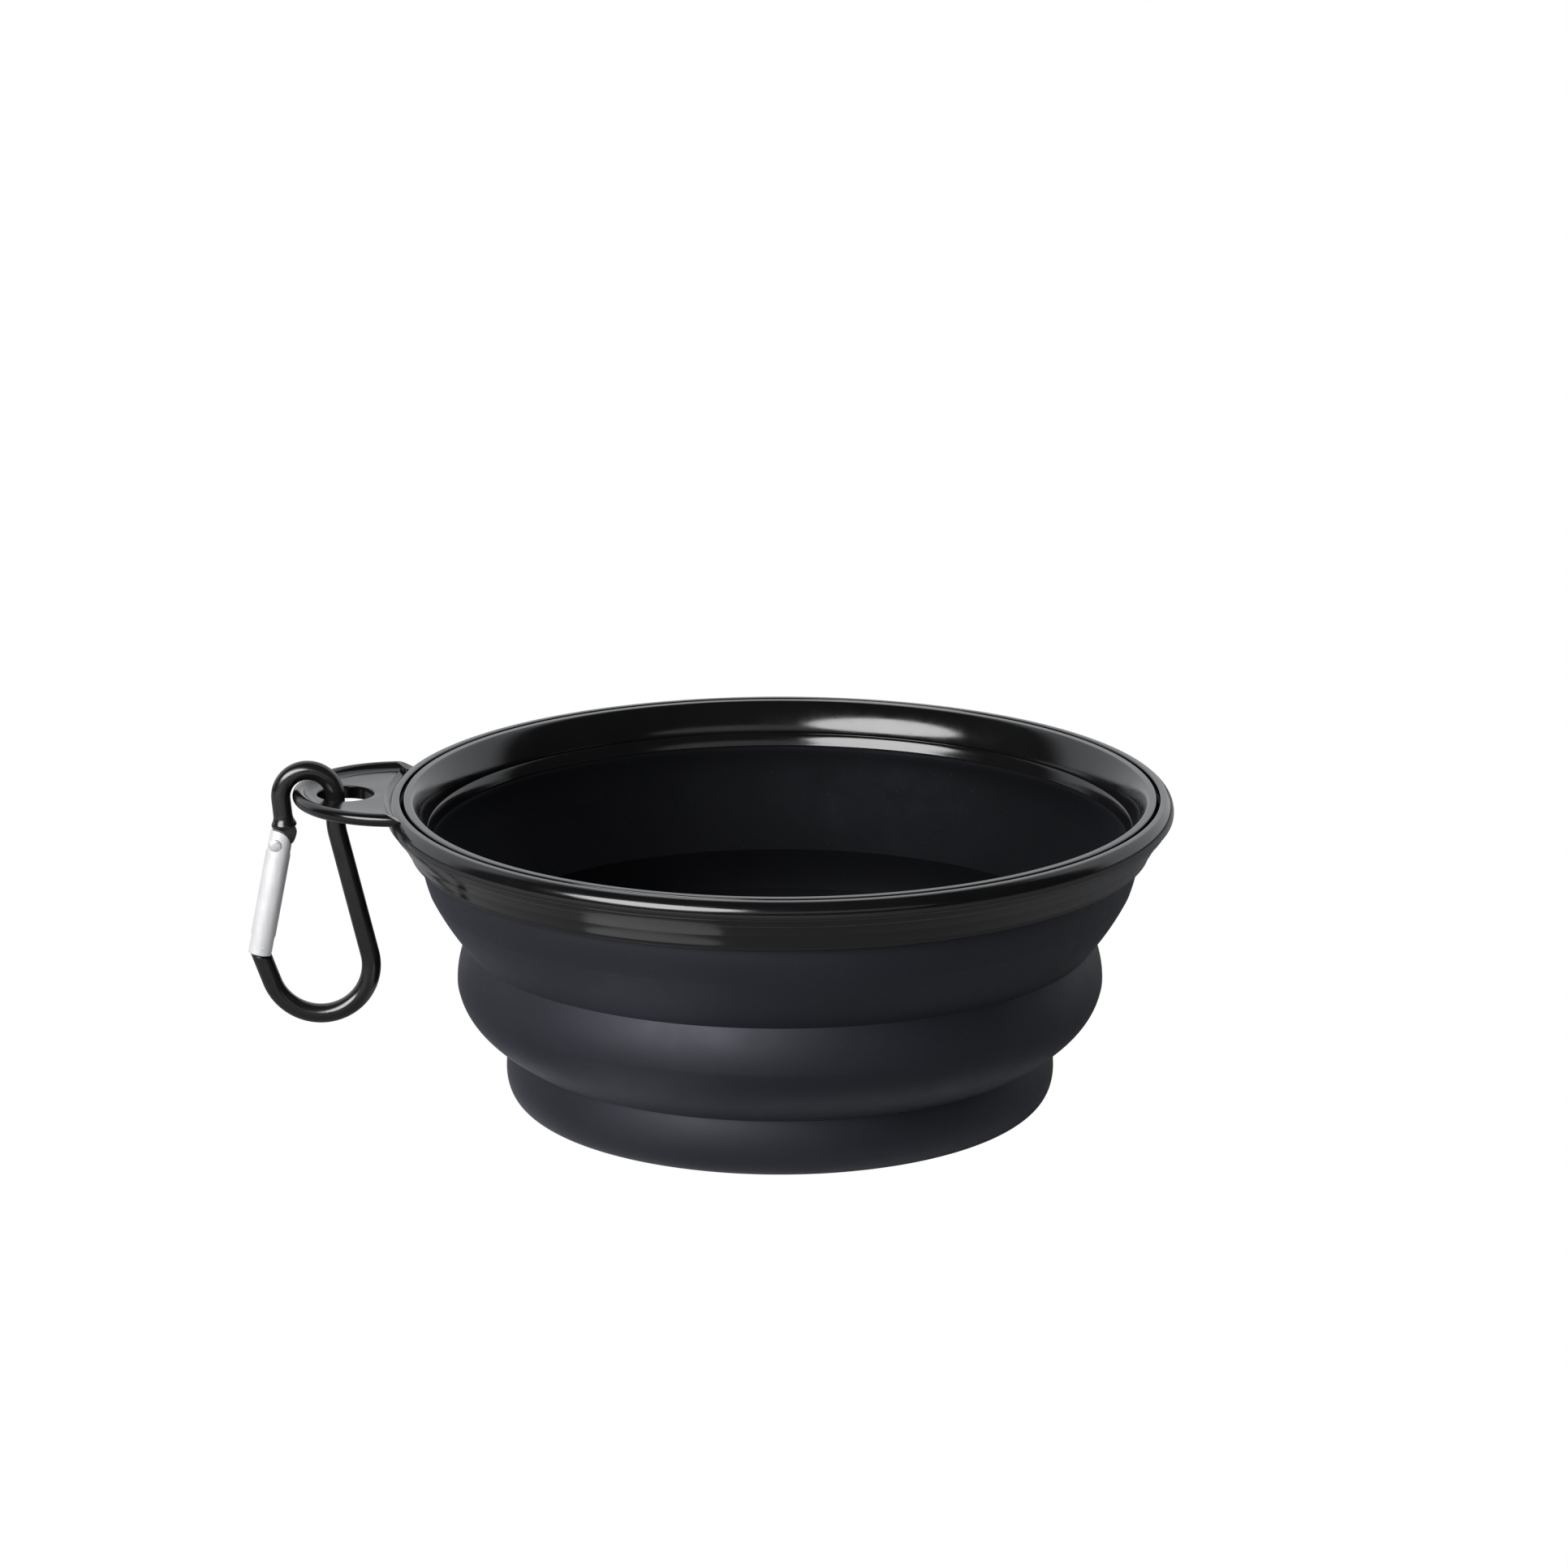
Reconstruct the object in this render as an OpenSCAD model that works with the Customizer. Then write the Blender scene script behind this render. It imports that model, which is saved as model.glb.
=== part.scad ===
// Collapsible travel bowl for pets, with a snap hook on its ear.
// A stiff two-part rim grips a soft stepped wall. The wall has three tiers, each smaller than the
// one above it, and the sloping web under each of the two upper tiers turns inside out, so the
// tiers nest in one another and the bowl lies flat.
// Millimetres, +Z up. The origin is the middle of the resting face, and the ear points to -X.

/* [Rim] */
// Outer diameter of the rim
rim_d = 130; // [124:1:150]
// Height of the outer ring, from the skirt's lower edge to the top
rim_h = 8.8; // [8.4:0.1:10]
// Width of the rolled top edge, from the seat of the clamp ring outwards
rim_roll_w = 2.7; // [2.5:0.1:2.9]
// Height of the roll, from its widest line to the top
rim_roll_h = 2.2; // [2:0.1:2.4]
// Width of the groove between the two rings
groove_w = 0.6; // [0.5:0.05:0.7]
// Depth of the groove
groove_depth = 1.2; // [1:0.1:1.5]
// How far the skirt's lower edge lies inside the rim's edge
skirt_inset = 3.9; // [3.7:0.1:4.2]
// Thickness of the skirt at its lower edge
skirt_edge_t = 1.7; // [1.5:0.1:1.8]
// Depth of the ledge that carries the soft wall's flange, from the rim's top
ledge_depth = 5; // [4.6:0.1:5.2]
// Width of the ledge
ledge_w = 1.4; // [1.2:0.1:1.6]
// Depth of the clamp ring's underside, from the rim's top
clamp_depth = 2.75; // [2.5:0.05:3]
// Width of the funnel from the groove to the mouth
funnel_w = 3.8; // [3.4:0.1:4.4]
// Height of the funnel
funnel_h = 4.65; // [4.4:0.05:4.8]
// Height of the rolled sleeve under the funnel
sleeve_h = 2.7; // [2.4:0.1:2.8]
// Thickness of the sleeve at its lower lip
sleeve_t = 1.5; // [1.3:0.1:1.5]

/* [Ear] */
// Diameter of the ear's round outline
ear_d = 35; // [32:0.5:40]
// How far the ear's tip stands out from the rim
ear_reach = 15.5; // [14.5:0.5:18]
// Diameter of the bead along the ear's edge
ear_bead_d = 2.2; // [2:0.1:2.4]
// How far the ear's bead stands above the rim
ear_lift = 1; // [0.8:0.1:1.2]
// Thickness of the ear's plate
ear_plate_t = 1; // [0.8:0.05:1.05]
// Diameter of the hole for the hook
ear_hole_d = 9.4; // [9:0.1:10.5]
// Width of the bar between the hole and the ear's tip
ear_bar_w = 4.05; // [3.8:0.05:4.2]
// Width of the boss round the hole
ear_boss_w = 0.9; // [0.7:0.1:1]
// How far the boss stands down from the plate
ear_boss_h = 0.9; // [0.7:0.1:1]

/* [Soft wall] */
// Height of the upper tier under the skirt
upper_tier_h = 15.5; // [14:0.5:17]
// Height of the middle tier
middle_tier_h = 17.8; // [16:0.2:19]
// Height of the base tier
base_tier_h = 10.4; // [9.5:0.1:12]
// Outer diameter at the crease between the upper and the middle tier
crease_1_d = 104.2; // [102:0.2:106]
// Outer diameter at the crease between the middle and the base tier
crease_2_d = 90; // [88:0.5:92]
// Diameter of the flat resting face
foot_d = 78; // [74:0.5:80]
// Thickness of the stiff bands and of the skirted top
band_t = 1.9; // [1.6:0.1:2]
// Thickness at the creases
crease_t = 1.3; // [1.1:0.1:1.5]
// Thickness of the base wall and the floor
base_t = 2.2; // [1.8:0.1:2.4]
// Diameter of the moulding nub in the middle of the floor
nub_d = 1.8; // [1.4:0.1:2.4]
// Height of the nub
nub_h = 0.4; // [0.3:0.1:0.6]

/* [Hook] */
// Diameter of the hook's wire
wire_d = 3.2; // [3:0.1:3.4]
// Radius of the narrow bend over the ear, along the wire's middle
top_bend_r = 4.5; // [4.4:0.05:4.8]
// Radius of the wide bend at the bottom, along the wire's middle
bottom_bend_r = 8.55; // [8.3:0.05:8.8]
// Height between the middles of the two bends
bend_spacing = 28.9; // [28:0.1:30.5]
// How far the wide bend's middle lies towards the bowl from the narrow one's
bend_shift = 1.4; // [1.25:0.05:1.55]
// Radius of the slight bend where the spine leaves the ear
waist_bend_r = 12; // [8:1:14]
// Lean of the spine
spine_lean = 13.4; // [13:0.1:13.8]
// Lean of the leg above the gate
leg_lean = 5.5; // [5:0.1:6]
// Length of the leg above the gate, with its collar
leg_len = 4.7; // [4.5:0.1:4.9]
// Diameter of the collar at the leg's end
collar_d = 4.2; // [4:0.1:4.4]
// Length of the collar's flare
collar_len = 1.5; // [1.2:0.1:1.8]
// Lean of the nose below the gate
nose_lean = 20; // [18:0.5:22]
// Length of the nose
nose_len = 4.8; // [4.5:0.1:5.2]

/* [Gate] */
// Diameter of the gate
gate_d = 4.1; // [4:0.1:4.3]
// How far the gate's middle line lies inside its hinge pin's
gate_shift = 0.65; // [0.55:0.05:0.7]
// How far the gate's lower end stands out from the nose's middle line
gate_overhang = 0.35; // [0.25:0.05:0.45]
// Diameter of the hinge pin
hinge_pin_d = 1.2; // [1:0.05:1.3]
// Diameter of the hinge pin's heads
hinge_head_d = 2.1; // [1.8:0.1:2.3]
// Height of each head
hinge_head_h = 0.25; // [0.2:0.05:0.35]
// Diameter of the latch pin
latch_pin_d = 0.9; // [0.8:0.05:1]
// Thickness of the tongues that the gate's slots straddle
tongue_t = 1.3; // [1.1:0.05:1.3]
// Width of the hinge tongue
hinge_tongue_w = 2.6; // [2.5:0.1:2.7]
// How far the heel of the hinge tongue reaches inside the hinge pin
heel_reach = 3.4; // [3.2:0.1:3.6]
// Width of the latch tongue
latch_tongue_w = 2.4; // [2.2:0.1:2.6]
// Length of the latch tongue
latch_tongue_len = 3; // [2.8:0.1:3.2]
// Height of the latch pin above the gate's lower end
latch_pin_h = 1.3; // [1.2:0.05:1.4]
// Diameter of the gate's spring
spring_d = 1.7; // [1.5:0.05:1.75]
// Diameter of the spring's wire
spring_wire_d = 0.3; // [0.25:0.01:0.32]
// Length of the spring
spring_len = 10; // [9:0.5:11]

/* [Fits] */
// Gap between the pieces that the rim clamps together
clamp_gap = 0.1; // [0.05:0.01:0.12]
// Slit between neighbouring sections of the soft wall
fold_slit = 0.1; // [0.05:0.01:0.2]
// Gap between the hook's bend and the ear's bead
hook_gap = 0.27; // [0.2:0.01:0.3]
// Gap round the tongues and the spring
gate_gap = 0.1; // [0.08:0.01:0.12]
// Gap between the gate's ends and the hook
end_gap = 0.3; // [0.25:0.05:0.4]
// Radial clearance of the hinge pin in its tongue
pin_clearance = 0.05; // [0.03:0.01:0.08]
// Radial clearance of the pins in the gate's cheeks
rivet_clearance = 0.02; // [0.01:0.01:0.03]

/* [Hidden] */
$fn = 72;

// Colours of the three materials
rim_colour = "#1c1c1f";
soft_colour = "#2b2b31";
gate_colour = "#d4d5d6";

// Heights of the creases and the rim
crease_2_z = base_tier_h;
crease_1_z = crease_2_z + middle_tier_h;
skirt_z = crease_1_z + upper_tier_h;
rim_z = skirt_z + rim_h;

// Radii of the rim and what it clamps
rim_r = rim_d / 2;
seat_r = rim_r - rim_roll_w;
ledge_z = rim_z - ledge_depth;
ledge_r = seat_r - ledge_w;
skirt_r = rim_r - skirt_inset;
skirt_inner_r = skirt_r - skirt_edge_t;
clamp_r = seat_r - 2 * clamp_gap;
mouth_r = clamp_r - funnel_w;
mouth_step = 0.8;
mouth_notch = 0.15;
sleeve_lip_w = 0.1;
sleeve_lip_h = 0.35;
sleeve_inner_r = mouth_r - mouth_step;
sleeve_r = sleeve_inner_r + sleeve_t;
clamp_z = rim_z - clamp_depth;
clamp_round = 0.2;
mouth_z = rim_z - funnel_h;
sleeve_z = mouth_z - sleeve_h;

// Radii of the soft wall
wall_r = skirt_inner_r - clamp_gap;
crease_1_r = crease_1_d / 2;
crease_2_r = crease_2_d / 2;
foot_r = foot_d / 2;

// Where the roll's crest lies between the seat and the rim's edge
crest_share = 0.37;
// Outer face below the roll, with its two fine steps and the skirt's lip: inset and depth,
// as shares of skirt_inset and rim_h
skirt_share = [[0.008, 0.295], [0.038, 0.323], [0.097, 0.332], [0.141, 0.375], [0.262, 0.464],
               [0.323, 0.473], [0.46, 0.568], [0.64, 0.682], [0.78, 0.795], [0.9, 0.875],
               [0.975, 0.926], [0.987, 0.949], [0.96, 0.972], [1, 0.99], [1.09, 1]];
// Inside of the skirt's lower edge, as shares of rim_h
lip_share = 0.035;
lip_top_share = 0.22;
// Middle control points of the tiers' curves: shares of each tier's inset and height from below
upper_share = [[1.02, 0.695], [0.64, 0.366]];
middle_share = [[1.45, 0.563], [1.163, 0.287]];
base_share = [[1.2, 0.54], [1.23, 0]];
// Middle control points of the funnel's curve, as shares of its width and height from the mouth
funnel_share = [[0.5, 1], [0.08, 0.53]];
// Where along its curve each tier's stiff band ends and its web starts
upper_fold_share = 0.43;
middle_fold_share = 0.36;
// Straight pieces along each band and web, and along the roll, the funnel and the sleeve
band_steps = 6;
web_steps = 7;
base_steps = 10;
roll_steps = 8;
groove_steps = 3;
funnel_steps = 8;
sleeve_steps = 5;

// Place of the ear, its bead and its hole
ear_r = ear_d / 2;
ear_x = ear_r - rim_r - ear_reach;
ear_bead_r = ear_r - ear_bead_d / 2;
ear_bead_z = rim_z + ear_lift - ear_bead_d / 2;
ear_hole_x = ear_x - ear_r + ear_bar_w + ear_hole_d / 2;
// The ear's root ends inside the rim's roll, this share of the roll in from the rim's edge
ear_root_share = 0.55;
ear_root_r = rim_r - ear_root_share * rim_roll_w;
cut_over = 1;

// The hook lies in the XZ plane, and its points are [x, z]
wire_r = wire_d / 2;
bearing_angle = 20;
bearing_d = top_bend_r - wire_r - ear_bead_d / 2 - hook_gap;
top_c = [ear_x - ear_bead_r + bearing_d * cos(bearing_angle), ear_bead_z - bearing_d * sin(bearing_angle)];
bottom_c = top_c + [bend_shift, -bend_spacing];
spine_foot = bottom_c + bottom_bend_r * [cos(spine_lean), sin(spine_lean)];
spine_x = top_c[0] + top_bend_r;
spine_corner = spine_foot + (spine_foot[0] - spine_x) / sin(spine_lean) * [-sin(spine_lean), cos(spine_lean)];
waist_len = waist_bend_r * tan(spine_lean / 2);
waist_c = [spine_x + waist_bend_r, spine_corner[1] + waist_len];
leg_top = top_c - top_bend_r * [cos(leg_lean), sin(leg_lean)];
leg_end = leg_top + leg_len * [sin(leg_lean), -cos(leg_lean)];
nose_foot = bottom_c - bottom_bend_r * [cos(nose_lean), sin(nose_lean)];
nose_end = nose_foot + nose_len * [-sin(nose_lean), cos(nose_lean)];

// The gate is drawn from its hinge pin. Its places are depths below the pin, and its middle line
// lies gate_shift inside the pin's.
hinge_reach = 3.1;
hinge_lean = 27;
gate_top_share = 0.775;
hinge_c = leg_end - hinge_reach * [sin(hinge_lean), cos(hinge_lean)];
nose_x = gate_shift + gate_overhang;
hinge_to_nose = nose_end - hinge_c;
gate_lean = atan2(-hinge_to_nose[0], -hinge_to_nose[1]) + asin(nose_x / norm(hinge_to_nose));
gate_run = [-sin(gate_lean), -cos(gate_lean)];
nose_depth = hinge_to_nose * gate_run;
gate_end_depth = nose_depth - end_gap;
gate_top_r = gate_top_share * hinge_reach;
latch_depth = gate_end_depth - latch_pin_h;
latch_roof_depth = nose_depth - latch_tongue_len - 2 * end_gap;
slot_w = tongue_t + 2 * gate_gap;
hinge_slot_depth = hinge_tongue_w / 2 + end_gap;
// How far inside the tongue's round end its straight sides start
tongue_inset_share = 0.8;
// Rise of the notch's roof along the width of the latch tongue
latch_rise_share = 0.15;
// Outline of the heel, as shares of heel_reach inwards and hinge_reach up from the hinge pin
heel_share = [[1.03, 0.6], [0.97, 0.32], [0.85, 0.03]];
spring_gap = gate_gap / 2;
spring_top_depth = hinge_tongue_w / 2 + spring_gap;
spring_bore_d = spring_d + 2 * gate_gap;
spring_bore_depth = spring_top_depth + spring_len + spring_gap;

// The spring's coil
coil_turns = 9;
coil_rings = 8;
coil_sides = 6;

// Sides of the hook's wire, and rings along its bends
wire_sides = 16;
bend_rings = 16;
waist_rings = 3;

// Point on a four-point curve, and its unit normal towards the bowl's inside
function curve_point(p, t) = (1 - t) ^ 3 * p[0] + 3 * (1 - t) ^ 2 * t * p[1] + 3 * (1 - t) * t ^ 2 * p[2] + t ^ 3 * p[3];
function curve_slope(p, t) = (1 - t) ^ 2 * (p[1] - p[0]) + 2 * (1 - t) * t * (p[2] - p[1]) + t ^ 2 * (p[3] - p[2]);
function unit(v) = v / norm(v);
function inward(v) = unit([v[1], -v[0]]);
function mitre(a, b) = (a + b) / (1 + a * b);
function arc(c, r, from, to, steps) =
    [for (i = [0:steps]) let (a = from + (to - from) * i / steps) c + [r[0] * cos(a), r[1] * sin(a)]];

// Faces of a tube swept through rings + 1 rings of points
function tube_faces(rings, sides) = concat(
    [for (r = [0:rings - 1]) for (s = [0:sides - 1])
        let (a = r * sides + s, b = r * sides + (s + 1) % sides)
        each [[a, b, a + sides], [b, b + sides, a + sides]]],
    [[for (s = [sides - 1:-1:0]) s]],
    [[for (s = [0:sides - 1]) rings * sides + s]]
);

// Stations along an arc of the wire: each holds a middle point, the direction across, and a radius
function wire_arc(c, r, from, to, rings) =
    [for (i = [0:rings]) let (a = from + (to - from) * i / rings, n = [cos(a), sin(a)]) [c + r * n, n, wire_r]];

// The wire runs from the collar over the ear, down the spine and round to the nose,
// whose end is cut square to the gate
leg_n = -[cos(leg_lean), sin(leg_lean)];
nose_n = -[cos(nose_lean), sin(nose_lean)];
nose_run = unit(nose_end - nose_foot);
nose_cut_n = nose_n - nose_run * (nose_n * gate_run) / (nose_run * gate_run);
waist_arc = [for (i = [0:waist_rings])
    let (a = spine_lean * i / waist_rings, n = [cos(a), sin(a)]) [waist_c - waist_bend_r * n, n, wire_r]];
wire_stations = concat(
    [[leg_end, leg_n, collar_d / 2],
     [leg_end - collar_len * [sin(leg_lean), -cos(leg_lean)], leg_n, wire_r]],
    wire_arc(top_c, top_bend_r, 180 + leg_lean, 0, bend_rings),
    waist_arc,
    wire_arc(bottom_c, bottom_bend_r, spine_lean, nose_lean - 180, bend_rings),
    [[nose_end, nose_cut_n, wire_r]]
);

// Curve of a tier, from its upper end to its lower end
function tier(top, foot, share) =
    [top,
     foot + [(top[0] - foot[0]) * share[0][0], (top[1] - foot[1]) * share[0][1]],
     foot + [(top[0] - foot[0]) * share[1][0], (top[1] - foot[1]) * share[1][1]],
     foot];
upper_curve = tier([wall_r, skirt_z], [crease_1_r, crease_1_z], upper_share);
middle_curve = tier([crease_1_r, crease_1_z], [crease_2_r, crease_2_z], middle_share);
base_curve = tier([crease_2_r, crease_2_z], [foot_r, 0], base_share);

// Section of a stretch of a tier: its outer points, then its inner points on the way back.
// Thickness runs from t_from to t_to, and a given end normal mitres that end.
function section(p, from, to, steps, t_from, t_to, n_from, n_to) =
    let (
        at = [for (i = [0:steps]) from + (to - from) * i / steps],
        n = [for (i = [0:steps])
            i == 0 && n_from != undef ? n_from : i == steps && n_to != undef ? n_to : inward(curve_slope(p, at[i]))],
        wall = [for (i = [0:steps]) t_from + (t_to - t_from) * i / steps],
        outer = [for (i = [0:steps]) curve_point(p, at[i])]
    )
    concat(outer, [for (i = [steps:-1:0]) outer[i] + wall[i] * n[i]]);
crease_1_n = mitre(inward(curve_slope(upper_curve, 1)), inward(curve_slope(middle_curve, 0)));
crease_2_n = mitre(inward(curve_slope(middle_curve, 1)), inward(curve_slope(base_curve, 0)));
upper_slit_share = fold_slit / norm(upper_curve[3] - upper_curve[0]);
middle_slit_share = fold_slit / norm(middle_curve[3] - middle_curve[0]);

module outer_ring_section() {
    crest_r = seat_r + crest_share * rim_roll_w;
    groove_r = clamp_r + groove_w;
    groove_z = rim_z - groove_depth;
    chamfer_z = groove_z + groove_r - seat_r;
    polygon(concat(
        [[seat_r, ledge_z], [seat_r, groove_z]],
        arc([crest_r, chamfer_z], [crest_r - groove_r, rim_z - chamfer_z], 180, 90, groove_steps),
        arc([crest_r, rim_z - rim_roll_h], [rim_r - crest_r, rim_roll_h], 90 - 90 / roll_steps, 0, roll_steps - 1),
        [for (s = skirt_share) [rim_r - s[0] * skirt_inset, rim_z - s[1] * rim_h]],
        [[skirt_inner_r, skirt_z + lip_share * rim_h],
         [ledge_r, skirt_z + lip_top_share * rim_h],
         [ledge_r, ledge_z]]
    ));
}

module ear() {
    difference() {
        translate([ear_x, 0, ear_bead_z]) {
            translate([0, 0, -ear_plate_t])
                cylinder(h = ear_plate_t, r = ear_bead_r);
            translate([ear_hole_x - ear_x, 0, -ear_plate_t - ear_boss_h])
                cylinder(h = ear_boss_h + ear_plate_t / 2, r = ear_hole_d / 2 + ear_boss_w);
            rotate_extrude()
                translate([ear_bead_r, 0])
                    circle(d = ear_bead_d);
        }
        translate([0, 0, ledge_z])
            cylinder(h = rim_h, r = ear_root_r);
        translate([ear_hole_x, 0, ear_bead_z - ear_plate_t - ear_boss_h - cut_over])
            cylinder(h = ear_plate_t + ear_boss_h + 2 * cut_over, d = ear_hole_d);
    }
}

module rim_ring() {
    color(rim_colour) {
        rotate_extrude() outer_ring_section();
        ear();
    }
}

module clamp_ring() {
    lip_r = clamp_r - clamp_round;
    lip_w = lip_r - mouth_r;
    funnel = [[lip_r, rim_z],
              [mouth_r + funnel_share[0][0] * lip_w, mouth_z + funnel_share[0][1] * funnel_h],
              [mouth_r + funnel_share[1][0] * lip_w, mouth_z + funnel_share[1][1] * funnel_h],
              [mouth_r, mouth_z]];
    notch_r = mouth_r + mouth_notch;
    roll_c = [notch_r, sleeve_z + sleeve_lip_h];
    color(rim_colour)
        rotate_extrude()
            polygon(concat(
                [[clamp_r, rim_z - clamp_round]],
                [for (i = [0:funnel_steps]) curve_point(funnel, i / funnel_steps)],
                arc(roll_c, [notch_r - sleeve_inner_r - sleeve_lip_w, mouth_z - mouth_notch - roll_c[1]],
                    90, 180, sleeve_steps),
                [[sleeve_inner_r, roll_c[1] - sleeve_lip_w], [sleeve_inner_r, sleeve_z], [sleeve_r, sleeve_z],
                 [sleeve_r, clamp_z], [clamp_r, clamp_z]]
            ));
}

// The flange in the rim's ledge and the band under it, down to the first fold
module upper_band() {
    flange_r = seat_r - clamp_gap;
    flange_z = clamp_z - clamp_gap;
    neck_r = ledge_r - clamp_gap;
    shoulder_z = sleeve_z - clamp_gap;
    band = section(upper_curve, 0, upper_fold_share, band_steps, band_t, band_t);
    color(soft_colour)
        rotate_extrude()
            polygon(concat(
                [[flange_r, flange_z], [flange_r, ledge_z + clamp_gap], [neck_r, ledge_z + clamp_gap],
                 [neck_r, skirt_z + lip_top_share * rim_h], [wall_r, skirt_z + lip_share * rim_h - clamp_gap]],
                band,
                [[wall_r - band_t, shoulder_z - band_t / 2], [sleeve_inner_r, shoulder_z],
                 [sleeve_r + clamp_gap, shoulder_z], [sleeve_r + clamp_gap, flange_z]]
            ));
}

module upper_web() {
    color(soft_colour)
        rotate_extrude()
            polygon(section(upper_curve, upper_fold_share + upper_slit_share, 1 - upper_slit_share,
                            web_steps, band_t, crease_t, undef, crease_1_n));
}

module middle_band() {
    color(soft_colour)
        rotate_extrude()
            polygon(section(middle_curve, 0, middle_fold_share, band_steps, crease_t, band_t, crease_1_n, undef));
}

module lower_web() {
    color(soft_colour)
        rotate_extrude()
            polygon(section(middle_curve, middle_fold_share + middle_slit_share, 1 - middle_slit_share,
                            web_steps, band_t, crease_t, undef, crease_2_n));
}

module base_cup() {
    wall = section(base_curve, 0, 1, base_steps, crease_t, base_t, crease_2_n, [0, 1]);
    outer = [for (i = [0:base_steps]) wall[i]];
    inner = [for (i = [base_steps + 1:2 * base_steps + 1]) wall[i]];
    color(soft_colour) {
        rotate_extrude()
            polygon(concat(outer, [[0, 0], [0, base_t]], inner));
        translate([0, 0, base_t])
            cylinder(h = nub_h, d = nub_d);
    }
}

// Turns a drawing in the hook's plane upright: its y becomes +Z, and its thickness is centred on Y
module upright(thickness) {
    translate([0, thickness / 2, 0])
        rotate([90, 0, 0])
            linear_extrude(thickness)
                children();
}

// Puts a piece drawn along -Z from the hinge onto the gate's axis
module on_gate_axis() {
    translate([hinge_c[0], 0, hinge_c[1]])
        rotate([0, gate_lean, 0])
            children();
}

// The tongue reaches from the collar to the hinge pin, with a heel beside the gate
module hinge_tongue() {
    inside = tongue_inset_share * hinge_tongue_w / 2;
    root = leg_end - collar_len / 3 * [sin(leg_lean), -cos(leg_lean)];
    difference() {
        upright(tongue_t) {
            translate(hinge_c) circle(d = hinge_tongue_w);
            polygon(concat(
                [hinge_c - [inside, 0], root + wire_r * leg_n, root - wire_r * leg_n],
                [for (s = heel_share) hinge_c + [s[0] * heel_reach, s[1] * hinge_reach]],
                [hinge_c + [inside / 2, -inside]]
            ));
        }
        translate([hinge_c[0], tongue_t / 2 + cut_over, hinge_c[1]])
            rotate([90, 0, 0])
                cylinder(h = tongue_t + 2 * cut_over, d = hinge_pin_d + 2 * pin_clearance);
    }
}

// The notch opens towards the loop, and its roof rises to its mouth as the pin does
module latch_tongue() {
    notch_r = latch_pin_d / 2 + gate_gap;
    top_depth = nose_depth - latch_tongue_len;
    half = latch_tongue_w / 2;
    corner = latch_tongue_w / 3;
    on_gate_axis()
        upright(tongue_t)
            translate([nose_x, 0])
                difference() {
                    polygon([[-half, -nose_depth - wire_r / 2],
                             [half, -nose_depth - wire_r / 2],
                             [half, -top_depth - corner / 2],
                             [half - corner / 2, -top_depth],
                             [corner - half, -top_depth],
                             [-half, -top_depth - corner]]);
                    translate([0, -latch_depth]) {
                        circle(r = notch_r);
                        polygon([[0, -notch_r], [latch_tongue_w, -notch_r],
                                 [latch_tongue_w, notch_r + latch_rise_share * latch_tongue_w], [0, notch_r]]);
                    }
                }
}

module hook_body() {
    rings = len(wire_stations) - 1;
    points = [for (w = wire_stations) for (s = [0:wire_sides - 1])
        let (a = 360 * s / wire_sides, side = w[2] * cos(a) * w[1])
        [w[0][0] + side[0], w[2] * sin(a), w[0][1] + side[1]]];
    color(rim_colour) {
        polyhedron(points, tube_faces(rings, wire_sides));
        hinge_tongue();
        latch_tongue();
    }
}

module gate() {
    top_over = gate_top_r + cut_over;
    color(gate_colour)
        on_gate_axis()
            difference() {
                intersection() {
                    translate([gate_shift, 0, -gate_end_depth])
                        cylinder(h = gate_end_depth + gate_top_r, d = gate_d);
                    union() {
                        translate([0, gate_d, 0])
                            rotate([90, 0, 0])
                                cylinder(h = 2 * gate_d, r = gate_top_r);
                        translate([-gate_d, -gate_d, -gate_end_depth - cut_over])
                            cube([2 * gate_d, 2 * gate_d, gate_end_depth + cut_over]);
                    }
                }
                translate([-gate_d, -slot_w / 2, -hinge_slot_depth])
                    cube([2 * gate_d, slot_w, hinge_slot_depth + top_over]);
                translate([-gate_d, -slot_w / 2, -gate_end_depth - cut_over])
                    cube([2 * gate_d, slot_w, gate_end_depth + cut_over - latch_roof_depth]);
                translate([gate_shift, 0, -spring_bore_depth])
                    cylinder(h = spring_bore_depth, d = spring_bore_d);
                translate([0, gate_d, 0])
                    rotate([90, 0, 0])
                        cylinder(h = 2 * gate_d, d = hinge_pin_d + 2 * rivet_clearance);
                translate([nose_x, gate_d, -latch_depth])
                    rotate([90, 0, 0])
                        cylinder(h = 2 * gate_d, d = latch_pin_d + 2 * rivet_clearance);
            }
}

module gate_hinge_pin() {
    shank = gate_d + 2 * rivet_clearance;
    color(gate_colour)
        on_gate_axis()
            rotate([90, 0, 0]) {
                cylinder(h = shank, d = hinge_pin_d, center = true);
                for (side = [-1, 1])
                    translate([0, 0, side * (shank + hinge_head_h) / 2])
                        cylinder(h = hinge_head_h, d = hinge_head_d, center = true);
            }
}

module gate_latch_pin() {
    color(gate_colour)
        on_gate_axis()
            translate([nose_x, 0, -latch_depth])
                rotate([90, 0, 0])
                    cylinder(h = gate_d, d = latch_pin_d, center = true);
}

// Coil of round wire. Ring r of the sweep sits at turn r / coil_rings.
module gate_spring() {
    rings = coil_turns * coil_rings;
    mean_r = (spring_d - spring_wire_d) / 2;
    rise = spring_len - spring_wire_d;
    points = [for (r = [0:rings]) for (s = [0:coil_sides - 1])
        let (turn = 360 * r / coil_rings, a = 360 * s / coil_sides,
             out = mean_r + spring_wire_d / 2 * cos(a))
        [out * cos(turn), out * sin(turn), rise * r / rings + spring_wire_d / 2 * (1 + sin(a))]];
    color(gate_colour)
        on_gate_axis()
            translate([gate_shift, 0, -spring_top_depth - spring_len])
                polyhedron(points, tube_faces(rings, coil_sides));
}

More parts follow.
